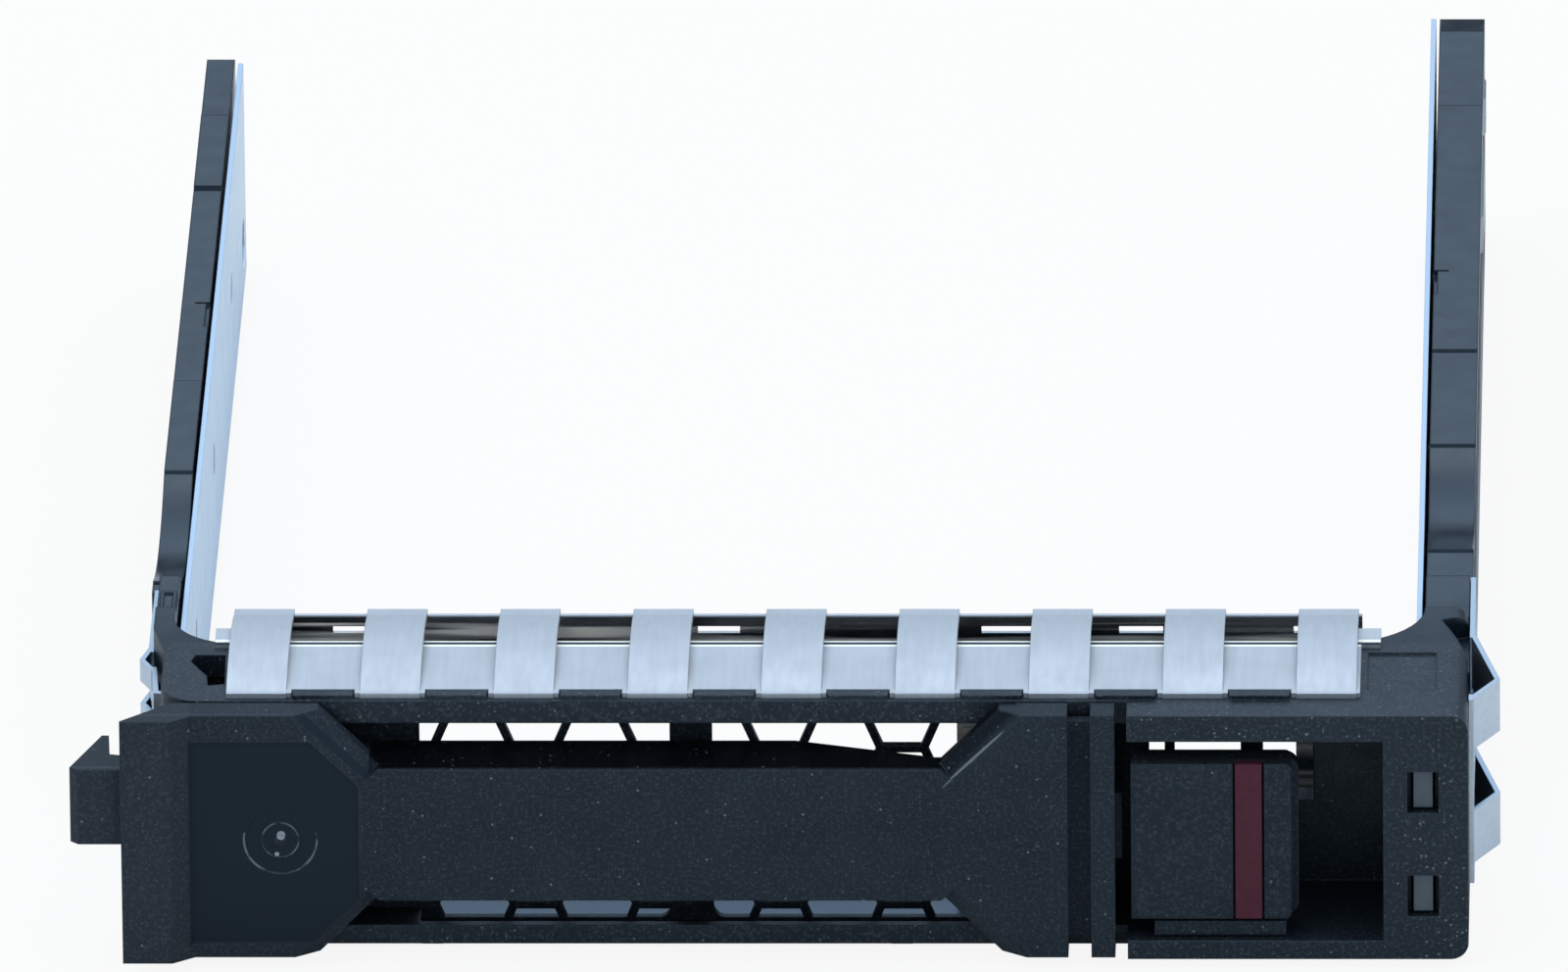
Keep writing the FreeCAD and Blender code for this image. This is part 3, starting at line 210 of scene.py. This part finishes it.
class Shader:
    """A material's nodes round one Principled surface, in the object's own coordinates."""

    def __init__(self, name):
        self.material = bpy.data.materials.new(name)
        self.material.use_nodes = True
        self.nodes = self.material.node_tree.nodes
        self.links = self.material.node_tree.links
        self.nodes.clear()
        self.surface = self.nodes.new("ShaderNodeBsdfPrincipled")
        self.output = self.nodes.new("ShaderNodeOutputMaterial")
        self.links.new(self.surface.outputs["BSDF"], self.output.inputs["Surface"])
        self.place = self.nodes.new("ShaderNodeTexCoord").outputs["Object"]

    def set(self, **values):
        for name, value in values.items():
            self.surface.inputs[name.replace("_", " ")].default_value = value

    def feed(self, socket, source):
        self.links.new(source, self.surface.inputs[socket])

    def connect(self, socket, value):
        """Links a socket to another node, or sets it where the value is a plain one."""
        if isinstance(value, bpy.types.NodeSocket):
            self.links.new(value, socket)
        else:
            socket.default_value = value

    def math(self, operation, first, second=0.0):
        node = self.nodes.new("ShaderNodeMath")
        node.operation = operation
        self.connect(node.inputs[0], first)
        self.connect(node.inputs[1], second)
        return node.outputs["Value"]

    def times(self, first, *others):
        for other in others:
            first = self.math("MULTIPLY", first, other)
        return first

    def most(self, first, *others):
        for other in others:
            first = self.math("MAXIMUM", first, other)
        return first

    def vector_math(self, operation, first, second=None):
        node = self.nodes.new("ShaderNodeVectorMath")
        node.operation = operation
        self.links.new(first, node.inputs[0])
        if second is not None:
            self.connect(node.inputs[1], second)
        return node

    def ramp(self, value, low, high, start=0.0, end=1.0):
        """Runs from start to end while the value runs from low to high."""
        node = self.nodes.new("ShaderNodeMapRange")
        self.links.new(value, node.inputs["Value"])
        limits = {"From Min": low, "From Max": high, "To Min": start, "To Max": end}
        for name, number in limits.items():
            node.inputs[name].default_value = number
        return node.outputs["Result"]

    def blend(self, share, first, second):
        """A colour between two others, each a colour or another node's output."""
        node = self.nodes.new("ShaderNodeMix")
        node.data_type = "RGBA"
        colours = [s for s in node.inputs if s.type == "RGBA"]
        self.connect(node.inputs["Factor"], share)
        for socket, colour in zip(colours, (first, second)):
            linked = isinstance(colour, bpy.types.NodeSocket)
            self.connect(socket, colour if linked else (*colour, 1))
        return [s for s in node.outputs if s.type == "RGBA"][0]

    def axis(self, vector, name):
        node = self.nodes.new("ShaderNodeSeparateXYZ")
        self.links.new(vector, node.inputs["Vector"])
        return node.outputs[name]

    def between(self, value, low, high):
        above = self.math("GREATER_THAN", value, low)
        below = self.math("LESS_THAN", value, high)
        return self.math("MULTIPLY", above, below)

    def within(self, name, low, high):
        """1 where the place on this axis is between two limits in millimetres, and 0 elsewhere."""
        return self.between(self.axis(self.place, name), low * MM, high * MM)

    def above(self, name, limit):
        return self.math("GREATER_THAN", self.axis(self.place, name), limit * MM)

    def below(self, name, limit):
        return self.math("LESS_THAN", self.axis(self.place, name), limit * MM)

    def rise(self, name, low, high):
        """Rises from 0 to 1 along this axis between two places in millimetres."""
        return self.ramp(self.axis(self.place, name), low * MM, high * MM)

    def distance(self, first, second):
        """The distance in the XZ plane, in millimetres, from the point at first, second."""
        offset = self.vector_math("SUBTRACT", self.place, (first * MM, 0, second * MM))
        flat = self.vector_math("MULTIPLY", offset.outputs["Vector"], (1 / MM, 0, 1 / MM))
        return self.vector_math("LENGTH", flat.outputs["Vector"]).outputs["Value"]

    def scaled(self, scale):
        node = self.nodes.new("ShaderNodeMapping")
        self.links.new(self.place, node.inputs["Vector"])
        node.inputs["Scale"].default_value = scale
        return node.outputs["Vector"]

    def noise(self, size, detail=2.0, stretch=(1, 1, 1)):
        """Noise whose features are about size millimetres across, longer where stretch is."""
        node = self.nodes.new("ShaderNodeTexNoise")
        per_metre = 1 / (size * MM)
        self.links.new(self.scaled([per_metre / s for s in stretch]), node.inputs["Vector"])
        node.inputs["Scale"].default_value = 1.0
        node.inputs["Detail"].default_value = detail
        return node.outputs["Fac"]

    def specks(self, cell, share, radius, strength):
        """Small round dots in a share of the cells of a grid: full on a dot and 0 elsewhere."""
        node = self.nodes.new("ShaderNodeTexVoronoi")
        self.links.new(self.scaled([1 / (cell * MM)] * 3), node.inputs["Vector"])
        node.inputs["Scale"].default_value = 1.0
        near = self.ramp(node.outputs["Distance"], radius / cell, SPECK_CORE * radius / cell)
        chosen = self.math("GREATER_THAN", self.axis(node.outputs["Color"], "X"), 1 - share)
        return self.times(near, chosen, strength)

    def eased(self, radius):
        """The surface's normal, turned smoothly round edges and corners."""
        node = self.nodes.new("ShaderNodeBevel")
        node.samples = BEVEL_SAMPLES
        node.inputs["Radius"].default_value = radius * MM
        return node.outputs["Normal"]

    def flat_normal(self):
        return self.nodes.new("ShaderNodeNewGeometry").outputs["True Normal"]

    def edges(self, radius):
        """1 along the edges and 0 on the faces between them."""
        turn = self.vector_math("DOT_PRODUCT", self.eased(radius), self.flat_normal())
        return self.ramp(turn.outputs["Value"], *EDGE_TURN)

    def relief(self, height, depth, soft_edge):
        """Bumps of a real depth in millimetres, over edges eased by a small radius."""
        bump = self.nodes.new("ShaderNodeBump")
        bump.inputs["Distance"].default_value = depth * MM
        bump.inputs["Strength"].default_value = 1.0
        self.links.new(height, bump.inputs["Height"])
        self.links.new(self.eased(soft_edge), bump.inputs["Normal"])
        self.feed("Normal", bump.outputs["Normal"])


def spark_specks(shader, kinds, where):
    """The specks of spark textured plastic, with the closer ones where the front is rubbed."""
    dots = shader.times(shader.most(*(shader.specks(*kind) for kind in kinds)), where)
    row = shader.times(shader.within("Z", *RUBBED_HEIGHTS), shader.above("X", RUBBED_FROM))
    end = shader.times(shader.above("X", RUBBED_END), RUBBED_END_SHARE)
    rubbed = shader.times(shader.most(row, end), shader.below("Y", RUBBED_DEPTH))
    return shader.most(dots, shader.times(shader.specks(*RUBBED_SPECKS), rubbed))


def spark_textured(shader, colour, grain, share, dots):
    """A plastic's colour with a pale grain, pale specks and pale edges, partly wear and partly painted
    highlight.
    """
    grainy = shader.blend(shader.times(grain, share), colour, SPECK)
    dotted = shader.blend(dots, grainy, SPECK)
    return shader.blend(shader.times(shader.edges(EDGE_WIDTH), EDGE_SHARE), dotted, EDGE_WEAR_AND_HIGHLIGHT)


def rail_plastic():
    """The frame's black moulding: smooth rails, paler and bluer than the bezel as a painted sheen, and
    the bezel spark textured with faint specks.
    """
    shader = Shader("rail_plastic")
    cloud = shader.ramp(shader.noise(9, 3), 0.35, 0.7)
    at_bezel = shader.below("Y", BEZEL_BACK)
    at_rails = shader.rise("Y", *RAIL_BLEND)
    bezel = shader.blend(cloud, BEZEL, BEZEL_PALE)
    rails_with_painted_sheen = shader.blend(cloud, RAIL, RAIL_PALE)
    colour = shader.blend(at_rails, bezel, rails_with_painted_sheen)
    grain = shader.times(shader.ramp(shader.noise(0.22), 0.5, 0.72), at_bezel)
    dots = spark_specks(shader, BEZEL_SPECKS, at_bezel)
    shader.feed("Base Color", spark_textured(shader, colour, grain, BEZEL_GRAIN, dots))
    matt = shader.ramp(shader.noise(1.6, 3), 0.3, 0.7, *MOULDED_SHEEN)
    shader.feed("Roughness", shader.math("SUBTRACT", matt, shader.times(at_rails, RAIL_SMOOTHING)))
    shader.set(Specular_IOR_Level=0.42, Specular_Tint=SLATE_TINT)
    size, *relief = BEZEL_RELIEF
    shader.relief(shader.noise(size), *relief)
    return shader.material


def mark_wear_and_glints(shader):
    """The round mark's pale marks: the lower part of its rim and its inner ring, partly wear and partly
    painted highlight, and its painted glints.
    """
    across, up = MARK
    radius = shader.distance(across, up)
    faint = shader.within("X", across - MARK_FAINT, across + MARK_FAINT)
    strength = shader.math("SUBTRACT", RIM_SHARE, shader.times(faint, RIM_FAINTER_BY))
    low = shader.below("Z", up + MARK_RIM_TOP)
    rim = shader.times(shader.between(radius, *MARK_RIM), low, strength)
    ring = shader.times(shader.between(radius, *MARK_RING), RING_SHARE)
    patchy = shader.ramp(shader.noise(0.9), 0.36, 0.56)
    wear_and_highlight = shader.times(shader.most(rim, ring), patchy)
    # Painted glints: small pale dots that stand for highlights on the mark
    for x, z, size in MARK_GLINTS:
        glint = shader.math("LESS_THAN", shader.distance(across + x, up + z), size)
        wear_and_highlight = shader.most(wear_and_highlight, glint)
    return shader.times(wear_and_highlight, shader.below("Y", MARK_DEPTH))


def scratch_and_highlight(shader):
    """The thin scratch beside the grip, partly a painted highlight along the chamfer's edge: where the
    ways to both its ends add up to its length.
    """
    near, far = (shader.distance(*end) for end in SCRATCH)
    reach = math.dist(*SCRATCH) + SCRATCH_SLACK
    on_line = shader.math("LESS_THAN", shader.math("ADD", near, far), reach)
    return shader.times(on_line, shader.below("Y", SCRATCH_DEPTH), SCRATCH_SHARE)


def textured_plastic():
    """The lever's and the button's spark texture, left off the smooth panel round the mark and
    darker over the top of the grip, a painted shade under the bezel's lip, where the grain is left off
    too."""
    shader = Shader("textured_plastic")
    smooth = shader.times(shader.within("Y", *PANEL_DEPTHS), shader.below("X", PANEL_RIGHT))
    rough = shader.math("SUBTRACT", 1.0, smooth)
    upper = shader.above("Z", GRIP_SHADE_FROM)
    over_grip = shader.times(shader.within("X", PANEL_RIGHT, GRIP_RIGHT), upper)
    # Painted shade over the grip's top, which lies under the bezel's lip; the grain is left off there
    # too
    grip_painted_shade = shader.times(over_grip, shader.rise("Y", *GRIP_SHADE_DEPTHS))
    dots = spark_specks(shader, LEVER_SPECKS, rough)
    cloud = shader.ramp(shader.noise(5, 3), 0.3, 0.7)
    colour = shader.blend(smooth, shader.blend(cloud, SLATE, SLATE_PALE), PANEL)
    colour = shader.blend(shader.times(shader.below("X", LEFT_END), END_SHARE), colour, END_PALE)
    colour = shader.blend(grip_painted_shade, colour, GRIP_PAINTED_SHADE)
    rubbed = shader.math("SUBTRACT", rough, grip_painted_shade)
    grain = shader.times(shader.ramp(shader.noise(0.2), 0.48, 0.72), rubbed)
    colour = spark_textured(shader, colour, grain, LEVER_GRAIN, dots)
    # Pale wear and painted highlights: the mark's rim, ring and glints, and the scratch line
    wear_and_highlight = shader.most(mark_wear_and_glints(shader), scratch_and_highlight(shader))
    shader.feed("Base Color", shader.blend(wear_and_highlight, colour, WORN_AND_HIGHLIGHT))
    unpolished = shader.math("SUBTRACT", rubbed, wear_and_highlight)
    shader.feed("Roughness", shader.ramp(unpolished, 0, 1, *SPARK_SHEEN))
    shader.set(Specular_IOR_Level=0.15, Specular_Tint=SLATE_TINT)
    size, *relief = LEVER_RELIEF
    height = shader.times(shader.noise(size), shader.ramp(rubbed, 0, 1, PANEL_RELIEF_SHARE, 1))
    shader.relief(height, *relief)
    return shader.material


def shield_marks(shader, colour, satin):
    """The shield's streaked web, its streaks partly a painted reflection; a painted highlight with a
    painted dark line along its top sheet;
    its sheared edges; and its sunk sheet, darkened as painted shade. It is satin on top of the bezel
    and mirror bright inside it."""
    at_web = shader.times(shader.within("Y", *WEB_DEPTHS), shader.below("Z", WEB_TOP))
    # Streaks across the web: brushing marks, pale and warm as a painted reflection
    bands = shader.ramp(shader.noise(0.6, stretch=WEB_STRETCH), 0.40, 0.58)
    brushed_and_reflecting = shader.times(bands, at_web)
    on_sheet = shader.within("Z", *TOP_SHEET)
    # A painted highlight along the top sheet's rear bend with a painted dark line within it, and the
    # sunk sheet painted in shade
    for share, tone in (
        (brushed_and_reflecting, STREAK_AND_REFLECTION),
        (shader.times(shader.within("Y", *CREST_DEPTHS), on_sheet), CREST_PAINTED_HIGHLIGHT),
        (shader.times(shader.within("Y", *DARK_LINE_DEPTHS), on_sheet), SHIELD_PAINTED_SHADE),
        (shader.times(shader.edges(SHEARED_WIDTH), SHEARED_SHARE), SHEARED),
        (shader.within("Z", *SUNK_SHEET), SHIELD_PAINTED_SHADE),
    ):
        colour = shader.blend(share, colour, tone)
    inside = shader.times(shader.below("Z", MIRROR_TOP), shader.below("Y", WEB_DEPTHS[1]))
    satin = shader.times(satin, shader.math("SUBTRACT", 1.0, shader.times(inside, MIRROR_SHARE)))
    satin = shader.math("ADD", satin, shader.times(brushed_and_reflecting, STREAK_DULLING))
    return colour, satin


def rolled_steel(name, along, colours, sheen, marks=None):
    """Thin rolled sheet: fine streaks along one axis, faint clouds and a warm painted highlight on the
    cut sides that face right, with marks of its own where a function for them is given."""
    shader = Shader(name)
    stretch = [ROLLING_STRETCH if axis == along else 1 for axis in "XYZ"]
    streaks = shader.noise(0.35, 3, stretch)
    patches = shader.noise(2.6, 4)
    both = shader.math("ADD", shader.times(streaks, 0.5), shader.times(patches, 0.5))
    colour = shader.blend(shader.ramp(both, 0.35, 0.65), *colours)
    sideways = shader.math("GREATER_THAN", shader.axis(shader.flat_normal(), "X"), SIDEWAYS)
    at_fingers = shader.within("X", -FINGERS_HALF, FINGERS_HALF)
    # Painted highlight on the sides that face right, within the fingers' width
    colour = shader.blend(shader.times(sideways, at_fingers), colour, CUT_SIDE_HIGHLIGHT)
    satin = shader.ramp(both, 0.35, 0.65, *sheen)
    if marks:
        colour, satin = marks(shader, colour, satin)
    shader.feed("Base Color", colour)
    shader.feed("Roughness", satin)
    shader.set(Metallic=1.0)
    shader.relief(streaks, 0.003, 0.05)
    return shader.material


def maroon_plastic():
    shader = Shader("maroon_plastic")
    shader.feed("Base Color", shader.blend(shader.noise(0.5, 3), MAROON_DARK, MAROON))
    shader.set(Roughness=0.45, Specular_IOR_Level=0.15)
    size, *relief = MAROON_RELIEF
    shader.relief(shader.noise(size), *relief)
    return shader.material


def clear_plastic():
    """Darker at the windows, a painted shade for the dark bezel seen through it, and paler along the
    rail.
    """
    shader = Shader("clear_plastic")
    # Painted shade at the windows, for the dark bezel behind them
    window_painted_shade = shader.blend(shader.noise(1.5, 3), CLEAR, CLEAR_PALE)
    shader.feed("Base Color", shader.blend(shader.rise("Y", *CLEAR_BLEND), window_painted_shade, CLEAR_SIDE))
    shader.feed("Roughness", shader.ramp(shader.noise(0.6), 0.3, 0.7, *CLEAR_SHEEN))
    shader.set(IOR=1.49, Transmission_Weight=0.35)
    size, *relief = CLEAR_RELIEF
    shader.relief(shader.noise(size, 1), *relief)
    return shader.material


def finish_nodes(nodes, record):
    """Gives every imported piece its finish, by its own name or by its slot in the record."""
    by_slot = {
        "black_plastic": rail_plastic(),
        "textured_plastic": textured_plastic(),
        "maroon_plastic": maroon_plastic(),
        "steel": rolled_steel("spring_wire", "Z", (STEEL, STEEL_DULL), WIRE_SHEEN),
        "shield_steel": rolled_steel("strip_steel", "Y", (STEEL, STEEL_DULL), STRIP_SHEEN),
        "clear_plastic": clear_plastic(),
    }
    liner = rolled_steel("liner_steel", "Y", (LINER, LINER_DULL), STRIP_SHEEN)
    shield = rolled_steel("shield_steel", "Y", (SHIELD, SHIELD_DULL), SHIELD_SHEEN, shield_marks)
    by_name = {"emi_shield": shield, "left_rail_liner": liner, "right_rail_liner": liner}
    for entry in record["subparts"]:
        mesh = nodes[entry["node"]].data
        mesh.materials.clear()
        mesh.materials.append(by_name.get(entry["node"], by_slot[entry["material_slot"]]))


def make_live_spring(packed):
    """Stands for the button's spring: a copy of its mesh, fixed to the carrier, while the imported one
    is hidden.
    """
    coil = bpy.data.objects.new("button_coil", packed.data.copy())
    bpy.context.collection.objects.link(coil)
    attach(coil, "carrier")
    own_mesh(coil)
    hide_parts("button_spring")


def make_camera():
    ahead = Vector((
        -math.sin(CAMERA_TURN) * math.cos(CAMERA_DOWN),
        math.cos(CAMERA_TURN) * math.cos(CAMERA_DOWN),
        -math.sin(CAMERA_DOWN),
    ))
    level = Vector((math.cos(CAMERA_TURN), math.sin(CAMERA_TURN), 0))
    right = Matrix.Rotation(CAMERA_ROLL, 3, ahead) @ level
    up = right.cross(ahead)
    turn = Matrix((right, up, -ahead)).transposed()
    data = bpy.data.cameras.new("camera")
    data.lens = CAMERA_LENS
    data.sensor_width = SENSOR_WIDTH
    data.clip_end = CAMERA_REACH
    camera = bpy.data.objects.new("camera", data)
    camera.matrix_world = Matrix.Translation(CAMERA_PLACE) @ turn.to_4x4()
    bpy.context.collection.objects.link(camera)
    bpy.context.scene.camera = camera


def make_floor(low):
    """A plain pale floor that looks white to the camera and still takes the object's shadow."""
    bpy.ops.mesh.primitive_plane_add(size=FLOOR_SIZE, location=(0, 0, low))
    floor = bpy.context.object
    floor.name = "floor"
    shader = Shader("floor_white")
    shader.set(Base_Color=(*FLOOR, 1), Roughness=0.9, Specular_IOR_Level=0.1)
    glow = shader.nodes.new("ShaderNodeEmission")
    glow.inputs["Color"].default_value = (*WHITE, 1)
    mix = shader.nodes.new("ShaderNodeMixShader")
    light_path = shader.nodes.new("ShaderNodeLightPath")
    share = shader.times(light_path.outputs["Is Camera Ray"], FLOOR_GLOW)
    shader.links.new(share, mix.inputs["Fac"])
    shader.links.new(shader.surface.outputs["BSDF"], mix.inputs[1])
    shader.links.new(glow.outputs["Emission"], mix.inputs[2])
    shader.links.new(mix.outputs["Shader"], shader.output.inputs["Surface"])
    floor.data.materials.append(shader.material)


def make_world():
    """Even studio light, white to the camera. Metal, glass and gloss see a sky that is dark along
    the horizon, as in a room with a table."""
    world = bpy.data.worlds.new("studio")
    bpy.context.scene.world = world
    world.use_nodes = True
    nodes, links = world.node_tree.nodes, world.node_tree.links
    nodes.clear()

    def background(colour, strength):
        node = nodes.new("ShaderNodeBackground")
        node.inputs["Color"].default_value = (*colour, 1)
        node.inputs["Strength"].default_value = strength
        return node

    def mixed(share, first, second):
        node = nodes.new("ShaderNodeMixShader")
        links.new(share, node.inputs["Fac"])
        links.new(first.outputs[0], node.inputs[1])
        links.new(second.outputs[0], node.inputs[2])
        return node

    split = nodes.new("ShaderNodeSeparateXYZ")
    links.new(nodes.new("ShaderNodeTexCoord").outputs["Generated"], split.inputs["Vector"])
    (height, strength), *bands = MIRRORED_SKY
    mirrored = background(SURROUND, strength)
    for top, strength in bands:
        share = nodes.new("ShaderNodeMapRange")
        links.new(split.outputs["Z"], share.inputs["Value"])
        share.inputs["From Min"].default_value = height
        share.inputs["From Max"].default_value = top
        mirrored = mixed(share.outputs["Result"], mirrored, background(SURROUND, strength))
        height = top
    path = nodes.new("ShaderNodeLightPath")
    glossy = nodes.new("ShaderNodeMath")
    glossy.operation = "MAXIMUM"
    links.new(path.outputs["Is Glossy Ray"], glossy.inputs[0])
    links.new(path.outputs["Is Transmission Ray"], glossy.inputs[1])
    lit = mixed(glossy.outputs["Value"], background(SKY, SKY_LIGHT), mirrored)
    seen = mixed(path.outputs["Is Camera Ray"], lit, background(WHITE, 1.0))
    out = nodes.new("ShaderNodeOutputWorld")
    links.new(seen.outputs[0], out.inputs["Surface"])


def make_lamp(name, place, target, size, power):
    data = bpy.data.lights.new(name, "AREA")
    data.shape = "RECTANGLE"
    data.size, data.size_y = size
    data.energy = power
    lamp = bpy.data.objects.new(name, data)
    lamp.location = place
    lamp.rotation_euler = (Vector(target) - Vector(place)).to_track_quat("-Z", "Y").to_euler()
    bpy.context.collection.objects.link(lamp)


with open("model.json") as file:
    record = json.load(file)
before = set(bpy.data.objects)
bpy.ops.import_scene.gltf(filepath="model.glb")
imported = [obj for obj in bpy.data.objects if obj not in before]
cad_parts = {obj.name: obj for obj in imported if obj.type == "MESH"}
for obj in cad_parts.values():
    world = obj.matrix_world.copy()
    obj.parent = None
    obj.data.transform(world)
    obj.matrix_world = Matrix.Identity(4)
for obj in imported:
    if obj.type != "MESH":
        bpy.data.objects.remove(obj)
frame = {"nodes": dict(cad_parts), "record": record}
cad_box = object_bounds()
finish_nodes(frame["nodes"], frame["record"])
make_live_spring(frame["nodes"]["button_spring"])
make_floor(cad_box[0][2])
make_world()
for lamp in LAMPS:
    make_lamp(*lamp)
make_camera()
bpy.context.scene.view_settings.view_transform = "Standard"
